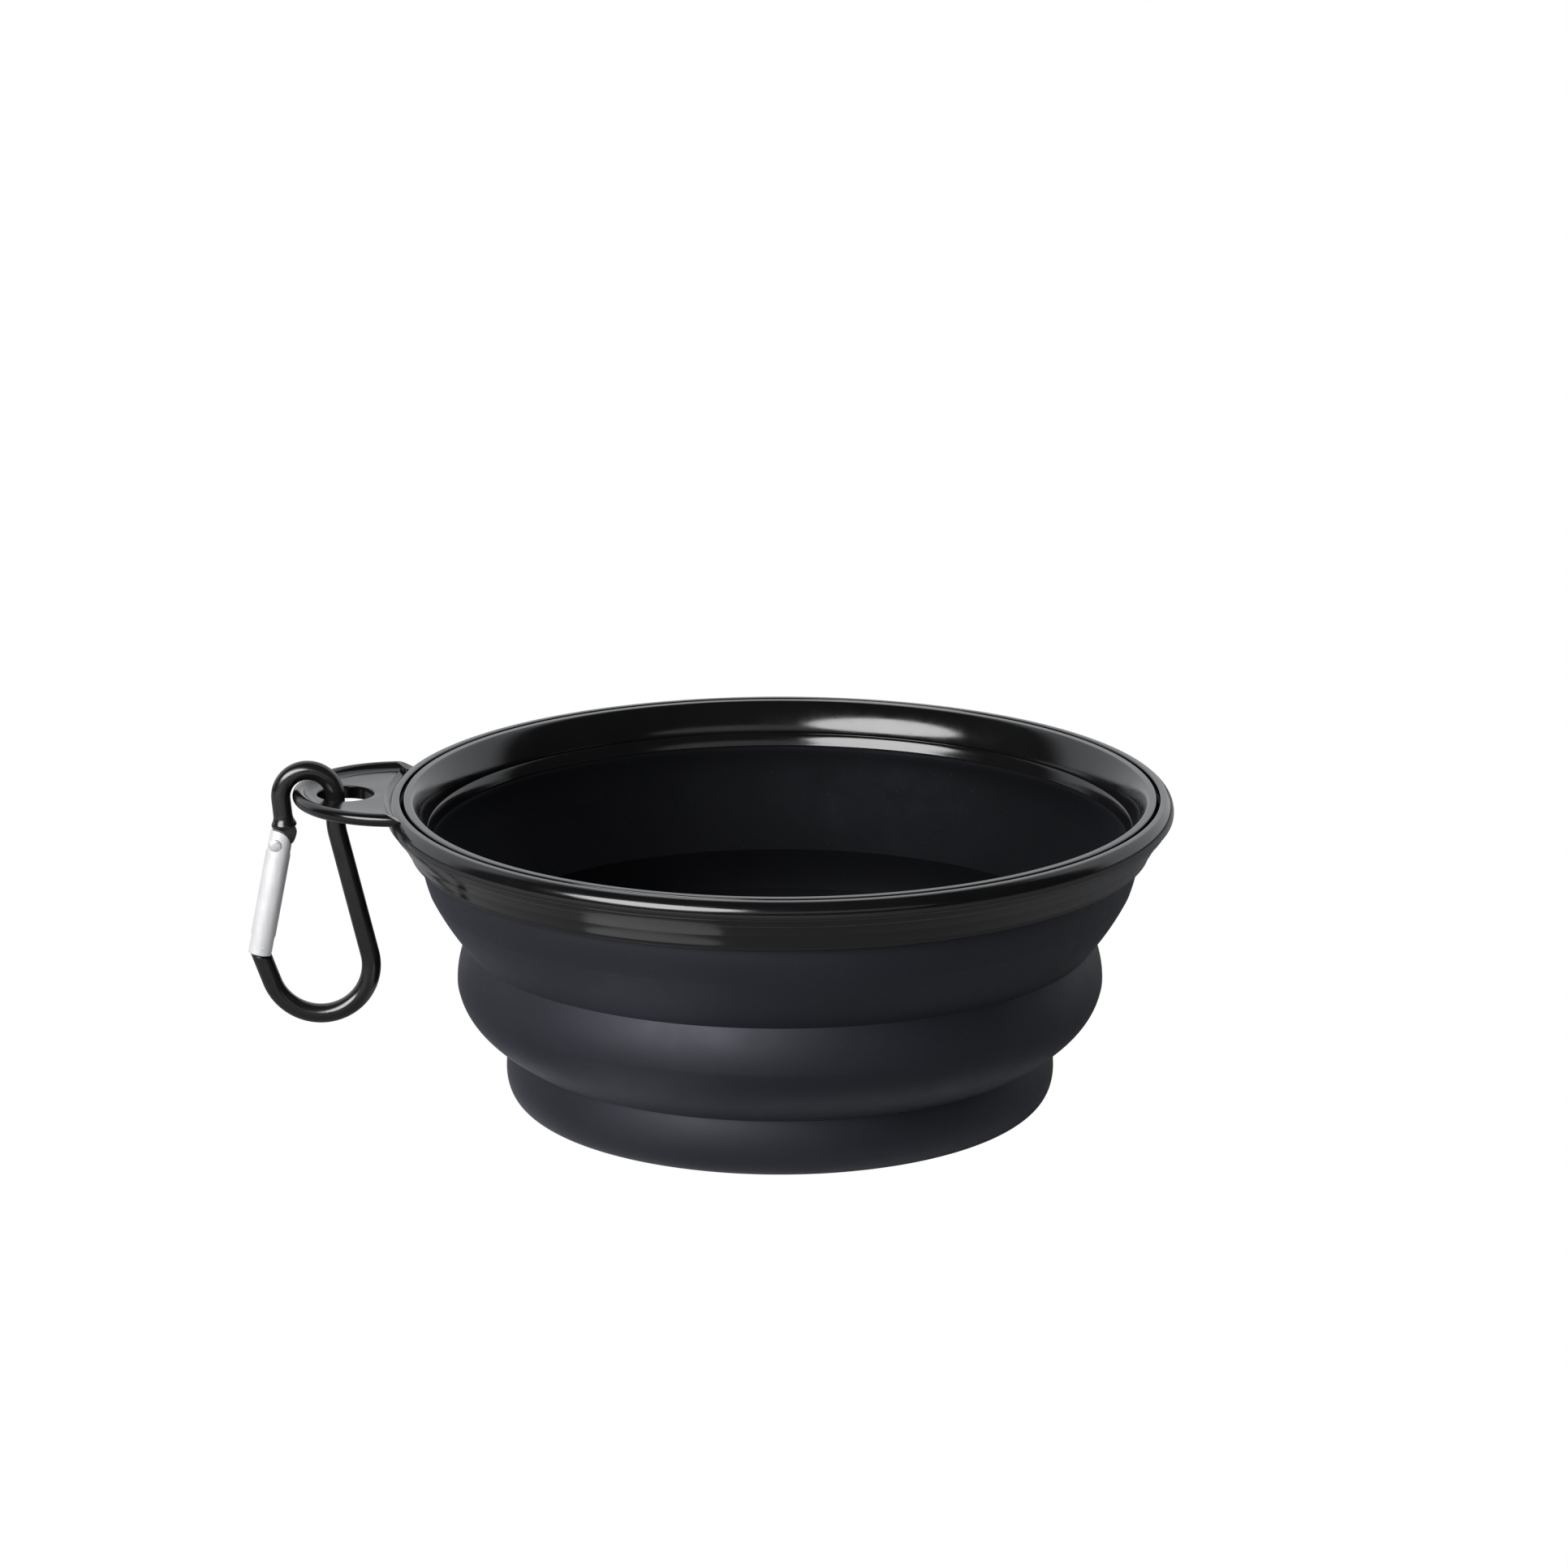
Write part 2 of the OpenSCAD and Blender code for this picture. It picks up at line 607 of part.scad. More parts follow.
rim_ring();
clamp_ring();
upper_band();
upper_web();
middle_band();
lower_web();
base_cup();
hook_body();
gate();
gate_hinge_pin();
gate_latch_pin();
gate_spring();
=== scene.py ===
"""Looks of the collapsible bowl and its snap hook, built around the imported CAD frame.

All sizes below are millimetres in the row frame and become metres when a mesh is made.
"""

import math

import bmesh
import bpy
import numpy as np
from mathutils import Matrix, Vector


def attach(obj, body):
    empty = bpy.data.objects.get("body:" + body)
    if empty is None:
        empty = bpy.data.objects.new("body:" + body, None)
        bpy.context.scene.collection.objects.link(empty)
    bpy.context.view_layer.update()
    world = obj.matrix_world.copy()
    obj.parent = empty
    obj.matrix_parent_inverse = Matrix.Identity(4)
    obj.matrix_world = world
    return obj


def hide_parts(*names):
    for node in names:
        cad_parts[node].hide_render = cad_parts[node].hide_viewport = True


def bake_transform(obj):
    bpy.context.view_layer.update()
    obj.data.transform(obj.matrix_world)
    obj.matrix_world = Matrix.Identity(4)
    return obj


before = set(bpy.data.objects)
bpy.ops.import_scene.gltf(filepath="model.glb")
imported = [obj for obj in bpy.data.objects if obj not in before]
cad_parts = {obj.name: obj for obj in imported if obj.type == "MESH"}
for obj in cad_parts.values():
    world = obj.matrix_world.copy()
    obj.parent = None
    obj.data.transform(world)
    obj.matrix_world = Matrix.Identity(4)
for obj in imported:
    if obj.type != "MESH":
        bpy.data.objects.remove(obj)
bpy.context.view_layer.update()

MM = 0.001

# Sizes that the CAD model uses
RIM_Z = 52.5
SKIRT_Z = 43.7
WALL_R = 59.3
CREASE_1 = (52.1, 28.2)
CREASE_2 = (45.0, 10.4)
FOOT_R = 39.0
BAND_T = 1.9
CREASE_T = 1.3
BASE_T = 2.2
UPPER_FOLD_SHARE = 0.43
MIDDLE_FOLD_SHARE = 0.36
EAR_X = -63.0
EAR_BEAD_RING_R = 16.4
EAR_BEAD_R = 1.1
EAR_BEAD_Z = 52.4
EAR_PLATE_T = 1.0
EAR_HOLE_X = -71.75
EAR_HOLE_R = 4.7
EAR_BOSS_W = 0.9
EAR_BOSS_H = 1.15
EAR_ROOT_R = 63.515
WIRE_R = 1.6
TOP_C = np.array([-77.96227, 51.87671])
BOTTOM_C = TOP_C + (1.4, -28.9)
TOP_BEND_R = 4.5
BOTTOM_BEND_R = 8.55
SPINE_LEAN = 13.4
WAIST_BEND_R = 12.0
LEG_LEAN = 5.5
LEG_LEN = 4.7
COLLAR_R = 2.1
NOSE_LEAN = 20.0
NOSE_LEN = 4.8
HINGE_C = np.array([-83.39845, 44.00493])
GATE_R = 2.05
GATE_SHIFT = 0.65
NOSE_X = 1.0
GATE_TOP_R = 2.4025
SLOT_HALF = 0.75
HINGE_SLOT_DEPTH = 1.6
HEEL = ((3.502, 1.86), (3.298, 0.992), (2.89, 0.093))

# Sizes that the scene adds: the hole's rounding, fold ridges, tongues, notch and the gate's details
EAR_HOLE_ROUND = 0.22
RIDGE_H = 0.11
RIDGE_W = 1.6
RIDGE_ROUND = 0.18
UPPER_BLEND_END_Z = 28.43
MIDDLE_BLEND_END_Z = 11.02
TONGUE_T = 1.3
TONGUE_R = 1.3
NOTCH_R = 0.55
GATE_EDGE_R = 0.22
GATE_BEVEL = 0.12
GATE_BORE_R = 0.95
GATE_BORE_END = -11.4
LATCH_SLOT_RUN = 3.6

# Steps round the bowl's axis, and steps down a wall
RIM_SIDES = 320
WALL_SIDES = 256
CUT_SIDES = 360
TIER_STEPS = 44
BASE_STEPS = 36

# Heights between which the ear's cutters reach
CUTTER_Z = (40.0, 60.0)

# A face gets the darker, duller copy of the wall material, painted shade, when it looks this much towards
# the axis, or this much up, below this height
INWARD_SHARE = 0.2
UPWARD_SHARE = 0.8
FLOOR_BELOW_Z = 10.0

# The stretch in which most values of a noise texture lie
NOISE_STRETCH = (0.3, 0.7)

# Studio: lengths in metres; the table's tone at each distance from the axis, with painted shadow in a ring
# round the bowl and painted light under it; where the white wall begins along Y, and the light of the dark
# and of the wall
TABLE_R = 0.7
TABLE_SHADE_AND_LIGHT_TONES = ((0.050, (0.72, 0.74, 0.76)), (0.062, (0.30, 0.30, 0.305)), (0.10, (0.30, 0.30, 0.305)),
               (0.26, (0.50, 0.50, 0.51)))
SURROUND_R = 9.0
WALL_EDGE = (0.18, 0.34)
DARK = 0.045
WALL = 1.0
LIGHT_AIM = (0.0, 0.0, 0.04)

# Camera: metres, and pixels of the photograph
ELEVATION = math.radians(15.3)
DISTANCE = 1.0
PIXELS_PER_M = 7460.0
FRAME_PIXELS = 1932.0
SENSOR_W = 36.0
SHIFT_PIXELS = (5, 11)


def arc(centre, radii, start, end, steps):
    """Points on an ellipse's arc, angles in degrees."""
    a = np.radians(np.linspace(start, end, steps + 1))
    return [(centre[0] + radii[0] * math.cos(t), centre[1] + radii[1] * math.sin(t)) for t in a]


def curve_point(p, t):
    """A point on the Bezier curve of four points."""
    p = np.asarray(p, float)
    return (1 - t) ** 3 * p[0] + 3 * (1 - t) ** 2 * t * p[1] + 3 * (1 - t) * t**2 * p[2] + t**3 * p[3]


def curve_normal(p, t):
    """Unit normal of a wall's curve, towards the bowl's inside."""
    p = np.asarray(p, float)
    d = (1 - t) ** 2 * (p[1] - p[0]) + 2 * (1 - t) * t * (p[2] - p[1]) + t**2 * (p[3] - p[2])
    n = np.array([d[1], -d[0]])
    return n / np.linalg.norm(n)


def tier(top, foot, share):
    """A tier's curve; each middle point has its own shares of the width and the height, from the foot."""
    top, foot = np.array(top, float), np.array(foot, float)
    return [top, foot + (top - foot) * share[0], foot + (top - foot) * share[1], foot]


def mitre(a, b):
    """The direction at a crease that keeps both walls even."""
    return (a + b) / (1 + a @ b)


def rounded(points, reach, steps=4):
    """A closed outline with each corner cut by a small curve that starts up to reach away from it."""
    out = []
    for i, p in enumerate(points):
        p = np.array(p, float)
        before = np.array(points[i - 1], float) - p
        after = np.array(points[(i + 1) % len(points)], float) - p
        cut = min(reach, np.linalg.norm(before) * 0.45, np.linalg.norm(after) * 0.45)
        a = p + before / np.linalg.norm(before) * cut
        b = p + after / np.linalg.norm(after) * cut
        for s in np.linspace(0, 1, steps + 1):
            out.append(tuple((1 - s) ** 2 * a + 2 * s * (1 - s) * p + s**2 * b))
    return out


def supported(points, edge=0.14):
    """Adds a point near each end of every long stretch, so that smooth shading keeps it even."""
    out = []
    for i, p in enumerate(points):
        a = np.array(p, float)
        b = np.array(points[(i + 1) % len(points)], float)
        out.append(tuple(a))
        length = np.linalg.norm(b - a)
        if length > 4 * edge:
            out.append(tuple(a + (b - a) * edge / length))
            out.append(tuple(b - (b - a) * edge / length))
    return out


def as_outline(outer, inner):
    """A closed outline from a wall's outer points and the inner points beside them."""
    return [tuple(q) for q in outer] + [tuple(q) for q in inner[::-1]]


def make_object(name, data):
    """A linked object of a mesh, a light or a camera."""
    piece = bpy.data.objects.new(name, data)
    bpy.context.scene.collection.objects.link(piece)
    return piece


def finish_mesh(name, work):
    """Turns a bmesh into a linked object."""
    mesh = bpy.data.meshes.new(name)
    work.to_mesh(mesh)
    work.free()
    return make_object(name, mesh)


def shade(mesh, angle=None):
    """Smooth shading, with edges sharper than angle kept sharp."""
    mesh.polygons.foreach_set("use_smooth", [True] * len(mesh.polygons))
    if angle is None:
        return
    work = bmesh.new()
    work.from_mesh(mesh)
    for edge in work.edges:
        if len(edge.link_faces) == 2:
            edge.smooth = edge.calc_face_angle() < math.radians(angle)
    work.to_mesh(mesh)
    work.free()


def revolve(name, profile, sides, centre=(0.0, 0.0)):
    """A closed outline of (radius, z) points turned about an upright axis; points on it become poles."""
    work = bmesh.new()
    rings = []
    for r, z in profile:
        if r < 1e-6:
            rings.append([work.verts.new((centre[0] * MM, centre[1] * MM, z * MM))])
            continue
        ring = []
        for k in range(sides):
            a = 2 * math.pi * k / sides
            x = centre[0] + r * math.cos(a)
            y = centre[1] + r * math.sin(a)
            ring.append(work.verts.new((x * MM, y * MM, z * MM)))
        rings.append(ring)
    for i in range(len(rings)):
        a, b = rings[i], rings[(i + 1) % len(rings)]
        if len(a) == 1 and len(b) == 1:
            continue
        for k in range(sides):
            n = (k + 1) % sides
            if len(a) == 1:
                corners = (a[0], b[n], b[k])
            elif len(b) == 1:
                corners = (a[k], a[n], b[0])
            else:
                corners = (a[k], a[n], b[n], b[k])
            work.faces.new(corners)
    bmesh.ops.recalc_face_normals(work, faces=work.faces)
    piece = finish_mesh(name, work)
    shade(piece.data)
    return piece


def column(r, low, high):
    """The outline of a plain upright cylinder."""
    return [(0.0, low), (r, low), (r, high), (0.0, high)]


# Materials

def shader(name, **values):
    """A material with its nodes, links and principled shader; values go on the shader's own sockets."""
    material = bpy.data.materials.new(name)
    material.use_nodes = True
    nodes, links = material.node_tree.nodes, material.node_tree.links
    principled = nodes["Principled BSDF"]
    for key, value in values.items():
        principled.inputs[key.replace("_", " ")].default_value = value
    return material, nodes, links, principled


def object_coordinates(nodes, links, scale=(1.0, 1.0, 1.0)):
    """The object's own coordinates, in metres, scaled."""
    coordinates = nodes.new("ShaderNodeTexCoord")
    mapping = nodes.new("ShaderNodeMapping")
    mapping.inputs["Scale"].default_value = scale
    links.new(coordinates.outputs["Object"], mapping.inputs["Vector"])
    return mapping.outputs["Vector"]


def noise(nodes, links, vector, scale, detail, roughness):
    """The value of a noise texture."""
    texture = nodes.new("ShaderNodeTexNoise")
    texture.inputs["Scale"].default_value = scale
    texture.inputs["Detail"].default_value = detail
    texture.inputs["Roughness"].default_value = roughness
    links.new(vector, texture.inputs["Vector"])
    return texture.outputs["Fac"]


def ramp(nodes, links, factor, low, high):
    """A colour that runs from low to high over a noise texture's stretch."""
    node = nodes.new("ShaderNodeValToRGB")
    for element, place, colour in zip(node.color_ramp.elements, NOISE_STRETCH, (low, high)):
        element.position = place
        element.color = (*colour, 1.0)
    links.new(factor, node.inputs["Fac"])
    return node.outputs["Color"]


def span(nodes, links, factor, low, high, start=NOISE_STRETCH[0], end=NOISE_STRETCH[1]):
    """A value that runs from low to high as factor goes from start to end."""
    node = nodes.new("ShaderNodeMapRange")
    node.inputs["From Min"].default_value = start
    node.inputs["From Max"].default_value = end
    node.inputs["To Min"].default_value = low
    node.inputs["To Max"].default_value = high
    links.new(factor, node.inputs["Value"])
    return node.outputs["Result"]


def bump(nodes, links, height, strength, distance, under=None):
    """A normal bent by a height, on top of another bump if one is given."""
    node = nodes.new("ShaderNodeBump")
    node.inputs["Strength"].default_value = strength
    node.inputs["Distance"].default_value = distance
    links.new(height, node.inputs["Height"])
    if under is not None:
        links.new(under, node.inputs["Normal"])
    return node.outputs["Normal"]


def gloss_plastic():
    """Black polypropylene: even gloss with a faint orange peel, dulled a little by handling."""
    material, nodes, links, out = shader("rim_gloss_black", Specular_IOR_Level=0.5)
    place = object_coordinates(nodes, links)
    cloud = noise(nodes, links, place, 55.0, 4.0, 0.6)
    base = ramp(nodes, links, cloud, (0.0030, 0.0030, 0.0033), (0.0050, 0.0050, 0.0054))
    links.new(base, out.inputs["Base Color"])
    smear = noise(nodes, links, place, 140.0, 5.0, 0.65)
    links.new(span(nodes, links, smear, 0.10, 0.19), out.inputs["Roughness"])
    peel = noise(nodes, links, place, 900.0, 2.0, 0.4)
    links.new(bump(nodes, links, peel, 0.03, 0.00004), out.inputs["Normal"])
    return material


def soft_plastic(name, level, dark, light, rough):
    """Matte blue-black elastomer: fine grain, cloudy dulling and specks of dust."""
    material, nodes, links, out = shader(
        name, Specular_IOR_Level=level, Sheen_Weight=0.04, Sheen_Roughness=0.45)
    out.inputs["Specular Tint"].default_value = (0.86, 0.89, 1.0, 1.0)
    out.inputs["Sheen Tint"].default_value = (0.55, 0.58, 0.75, 1.0)
    place = object_coordinates(nodes, links)
    cloud = noise(nodes, links, place, 38.0, 5.0, 0.6)
    base = ramp(nodes, links, cloud, dark, light)
    dust = noise(nodes, links, place, 2600.0, 1.0, 0.3)
    specks = span(nodes, links, dust, 0.0, 0.35, 0.74, 0.86)
    mix = nodes.new("ShaderNodeMixRGB")
    mix.inputs["Color2"].default_value = (0.055, 0.055, 0.062, 1.0)
    links.new(specks, mix.inputs["Fac"])
    links.new(base, mix.inputs["Color1"])
    links.new(mix.outputs["Color"], out.inputs["Base Color"])
    rub = noise(nodes, links, place, 85.0, 4.0, 0.7)
    links.new(span(nodes, links, rub, *rough), out.inputs["Roughness"])
    grain = noise(nodes, links, place, 3200.0, 2.0, 0.5)
    fine = bump(nodes, links, grain, 0.14, 0.00005)
    sag = noise(nodes, links, place, 60.0, 2.0, 0.5)
    links.new(bump(nodes, links, sag, 0.05, 0.0006, fine), out.inputs["Normal"])
    return material


def black_anodised():
    """Black anodised wire: deep gloss with faint drawing lines."""
    material, nodes, links, out = shader("hook_black_anodised", Specular_IOR_Level=0.6)
    place = object_coordinates(nodes, links)
    cloud = noise(nodes, links, place, 300.0, 4.0, 0.6)
    base = ramp(nodes, links, cloud, (0.0045, 0.0045, 0.0048), (0.0085, 0.0085, 0.0088))
    links.new(base, out.inputs["Base Color"])
    links.new(span(nodes, links, cloud, 0.16, 0.27), out.inputs["Roughness"])
    lines = noise(nodes, links, object_coordinates(nodes, links, (1.0, 1.0, 0.15)), 2200.0, 2.0, 0.5)
    links.new(bump(nodes, links, lines, 0.06, 0.00003), out.inputs["Normal"])
    return material


def bright_aluminium():
    """Bright satin aluminium with hair lines along the gate and small wear marks."""
    material, nodes, links, out = shader("gate_bright_aluminium", Metallic=0.5)
    place = object_coordinates(nodes, links)
    cloud = noise(nodes, links, place, 420.0, 4.0, 0.6)
    links.new(ramp(nodes, links, cloud, (0.76, 0.76, 0.77), (0.84, 0.84, 0.85)), out.inputs["Base Color"])
    lines = noise(nodes, links, object_coordinates(nodes, links, (1.0, 1.0, 0.04)), 3500.0, 3.0, 0.6)
    links.new(span(nodes, links, lines, 0.36, 0.50), out.inputs["Roughness"])
    links.new(bump(nodes, links, lines, 0.08, 0.00003), out.inputs["Normal"])
    return material


def bright_steel():
    """Bright steel of the rivets and the spring, a little uneven."""
    material, nodes, links, out = shader("rivet_steel", Metallic=0.7)
    place = object_coordinates(nodes, links)
    cloud = noise(nodes, links, place, 900.0, 4.0, 0.6)
    links.new(ramp(nodes, links, cloud, (0.74, 0.74, 0.75), (0.88, 0.88, 0.89)), out.inputs["Base Color"])
    links.new(span(nodes, links, cloud, 0.20, 0.36), out.inputs["Roughness"])
    links.new(bump(nodes, links, cloud, 0.08, 0.00003), out.inputs["Normal"])
    return material


rim_material = gloss_plastic()
wall_material = soft_plastic(
    "soft_wall_matte", 0.42, (0.0050, 0.0052, 0.0080), (0.0072, 0.0074, 0.0110), (0.50, 0.60))
# Darker, duller copy of the wall material: painted shade for faces inside the bowl and on its floor
inner_painted_shade_material = soft_plastic(
    "soft_wall_inside_painted_shade", 0.10, (0.0020, 0.0021, 0.0027), (0.0032, 0.0033, 0.0042), (0.60, 0.74))
hook_material = black_anodised()
gate_material = bright_aluminium()
steel_material = bright_steel()


def dress(piece, material, body, nodes=(), blend=None):
    """Gives a piece its material, ties it to its body or bakes its place when it blends, and hides the CAD
    nodes that it stands for.
    """
    piece.data.materials.clear()
    piece.data.materials.append(material)
    if blend:
        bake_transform(piece)
    else:
        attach(piece, body)
    if nodes:
        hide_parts(*nodes)


# Rim ring: groove wall, lip, rolled top, two fine steps, skirt and its lower lip

def rim_ring_profile():
    """The closed outline of (radius, z), from the groove's wall over the roll and down the skirt."""
    outline = [(62.3, 47.5), (62.3, 51.24), (62.34, 51.34), (62.64, 51.63), (62.69, 51.72), (62.7, 52.2)]
    outline += arc((62.96, 52.24), (0.26, 0.26), 176, 90, 5)
    outline += [(63.62, 52.5), (63.78, 52.475), (63.92, 52.41), (64.04, 52.31)]
    outline += arc((63.3, 50.3), (1.7, 2.2), 60, 0, 18)
    outline += [(64.99, 50.1), (64.97, 49.94), (64.92, 49.8), (64.87, 49.71), (64.79, 49.65), (64.7, 49.61),
                (64.64, 49.56), (64.6, 49.48), (64.45, 49.2), (64.2, 48.8), (64.04, 48.54), (63.98, 48.46),
                (63.9, 48.41), (63.8, 48.38), (63.74, 48.33), (63.68, 48.24), (63.46, 47.9), (63.2, 47.5),
                (62.85, 47.0), (62.5, 46.5), (62.2, 45.97), (61.93, 45.5), (61.66, 45.07), (61.44, 44.72),
                (61.28, 44.46), (61.2, 44.32), (61.16, 44.2), (61.15, 44.08), (61.14, 43.98), (61.1, 43.88),
                (61.02, 43.8), (60.9, 43.74), (60.7, 43.71), (60.3, 43.73), (59.75, 43.86), (59.47, 43.95),
                (59.42, 44.03), (59.5, 44.12), (60.84, 45.58), (60.9, 45.72), (60.9, 47.44), (60.97, 47.5)]
    return supported(outline)


rim_shell = revolve("rim_shell", rim_ring_profile(), RIM_SIDES)
dress(rim_shell, rim_material, "rim", ("rim_ring",))


# Clamp ring: flat lip, funnel down to the mouth, and a sloped sleeve under it

def clamp_profile():
    """The closed outline of (radius, z), from the seat in the rim over the lip and down the funnel."""
    funnel = [(60.95, 52.5), (60.5, 52.5), (58.68, 49.9), (58.3, 47.36)]
    outline = [(62.1, 49.8), (62.1, 52.28), (62.08, 52.38), (62.01, 52.46), (61.88, 52.5)]
    outline += [tuple(curve_point(funnel, s)) for s in np.linspace(0, 1, 26)]
    outline += [(58.31, 47.3), (58.36, 47.23), (58.26, 47.16), (58.15, 47.02), (58.03, 46.79),
                (57.9, 46.47), (57.77, 46.08), (57.65, 45.68), (57.56, 45.36), (57.52, 45.24),
                (57.54, 45.17), (57.62, 45.15), (58.9, 45.15), (58.98, 45.18), (59.0, 45.26),
                (59.0, 49.7), (59.05, 49.75), (62.05, 49.75)]
    return supported(outline)


clamp_funnel = revolve("clamp_funnel", clamp_profile(), RIM_SIDES)
dress(clamp_funnel, rim_material, "rim", ("clamp_ring",))


# Soft wall: one tier down to each crease, and the base cup

upper_curve = tier((WALL_R, SKIRT_Z), CREASE_1, ((1.02, 0.695), (0.64, 0.366)))
middle_curve = tier(CREASE_1, CREASE_2, ((1.45, 0.563), (1.163, 0.287)))
base_curve = tier(CREASE_2, (FOOT_R, 0.0), ((1.2, 0.54), (1.23, 0.0)))
crease_1_n = mitre(curve_normal(upper_curve, 1), curve_normal(middle_curve, 0))
crease_2_n = mitre(curve_normal(middle_curve, 1), curve_normal(base_curve, 0))
fold_1_z = curve_point(upper_curve, UPPER_FOLD_SHARE)[1]
fold_2_z = curve_point(middle_curve, MIDDLE_FOLD_SHARE)[1]


def ridged(points, fold):
    """Points of an outer face, lifted a little along the fold so that the slope breaks there."""
    out = []
    fold = np.array(fold)
    for i, q in enumerate(points):
        before, after = points[max(i - 1, 0)], points[min(i + 1, len(points) - 1)]
        run = np.array(after) - np.array(before)
        normal = np.array([-run[1], run[0]]) / np.linalg.norm(run)
        if normal[0] < 0:
            normal = -normal
        away = math.hypot(np.linalg.norm(np.array(q) - fold), RIDGE_ROUND)
        out.append(np.array(q) + normal * RIDGE_H * math.exp(-(away - RIDGE_ROUND) / RIDGE_W))
    return out


def fine_near(share):
    """Shares of a whole curve, closer together beside the fold."""
    near = [share + d for d in (-0.03, -0.018, -0.009, -0.003, 0.003, 0.009, 0.018, 0.03)]
    return sorted(set(round(x, 5) for x in list(np.linspace(0.0, 1.0, TIER_STEPS + 1)) + near))


def tier_wall(p, fold_share, t_top, t_fold, t_foot, n_top, n_foot):
    """Outer and inner points of a whole tier, with the fold's ridge on its outer face."""
    outer, inner = [], []
    for s in fine_near(fold_share):
        if s <= fold_share:
            thick = t_top + (t_fold - t_top) * s / fold_share
        else:
            thick = t_fold + (t_foot - t_fold) * (s - fold_share) / (1 - fold_share)
        n = curve_normal(p, s)
        if s == 0.0 and n_top is not None:
            n = n_top
        if s == 1.0:
            n = n_foot
        q = curve_point(p, s)
        outer.append(q)
        inner.append(q + thick * n)
    return ridged(outer, curve_point(p, fold_share)), inner


def upper_tier():
    """Flange under the clamp ring, stiff band and web."""
    outer, inner = tier_wall(upper_curve, UPPER_FOLD_SHARE, BAND_T, BAND_T, CREASE_T, None, crease_1_n)
    flange = [(62.2, 49.6), (62.2, 47.65), (62.12, 47.6), (60.8, 47.6), (60.8, 45.64), (59.3, 43.94)]
    top = [(57.4, 44.35), (57.44, 44.8), (57.6, 45.05), (59.1, 45.05), (59.1, 49.65), (62.15, 49.65)]
    return supported(flange + as_outline(outer, inner) + top, 0.2)


def middle_tier():
    """Web, stiff band and web between the creases."""
    outer, inner = tier_wall(
        middle_curve, MIDDLE_FOLD_SHARE, CREASE_T, BAND_T, CREASE_T, crease_1_n, crease_2_n)
    return as_outline(outer, inner)


def base_tier():
    """Base cup down to the foot, and the floor with its moulding nub."""
    outer, inner = [], []
    for i in range(BASE_STEPS + 1):
        n = curve_normal(base_curve, i / BASE_STEPS)
        if i == 0:
            n = crease_2_n
        if i == BASE_STEPS:
            n = np.array([0.0, 1.0])
        q = curve_point(base_curve, i / BASE_STEPS)
        outer.append(q)
        inner.append(q + (CREASE_T + (BASE_T - CREASE_T) * i / BASE_STEPS) * n)
    outer += [(30.0, 0.0), (15.0, 0.0), (4.0, 0.0), (0.0, 0.0)]
    inner += [(30.0, 2.2), (15.0, 2.2), (4.0, 2.2), (1.4, 2.2), (1.1, 2.2), (0.95, 2.24), (0.88, 2.4),
              (0.72, 2.55), (0.45, 2.6), (0.0, 2.6)]
    return as_outline(outer, inner)


def make_tier(name, outline, body, nodes, blend=None):
    """One tier of the wall; where it faces the axis or up from the floor it gets the darker copy of its
    material, painted shade.
    """
    piece = revolve(name, outline, WALL_SIDES)
    shade(piece.data, 50)
    dress(piece, wall_material, body, nodes, blend)
    piece.data.materials.append(inner_painted_shade_material)
    # Inward faces and the floor's upward faces get the darker copy: painted shade
    for face in piece.data.polygons:
        out = Vector((face.center.x, face.center.y, 0.0))
        inward = face.normal.dot(out) < -INWARD_SHARE * out.length
        floor = face.normal.z > UPWARD_SHARE and face.center.z < FLOOR_BELOW_Z * MM
        if inward or floor:
            face.material_index = 1


make_tier("wall_upper_tier", upper_tier(), "rim", ("upper_band", "upper_web"),
          ("middle", (0, 0, fold_1_z * MM), (0, 0, UPPER_BLEND_END_Z * MM)))
make_tier("wall_middle_tier", middle_tier(), "middle", ("middle_band", "lower_web"),
          ("base", (0, 0, fold_2_z * MM), (0, 0, MIDDLE_BLEND_END_Z * MM)))
make_tier("wall_base", base_tier(), "base", ("base_cup",))


# Ear: plate with a rolled edge, the hook's hole and its boss, cut off inside the rim's roll

def bake_modifiers(piece):
    """Puts the result of a piece's modifiers into its mesh."""
    depsgraph = bpy.context.evaluated_depsgraph_get()
    mesh = bpy.data.meshes.new_from_object(piece.evaluated_get(depsgraph))
    piece.modifiers.clear()
    old = piece.data
    piece.data = mesh
    bpy.data.meshes.remove(old)


def boolean(piece, cutter, operation="DIFFERENCE"):
    """Cuts a piece with a cutter, or joins or intersects them, and deletes the cutter."""
    modifier = piece.modifiers.new("cut", "BOOLEAN")
    modifier.operation = operation
    modifier.solver = "EXACT"
    modifier.object = cutter
    bake_modifiers(piece)
    bpy.data.objects.remove(cutter)


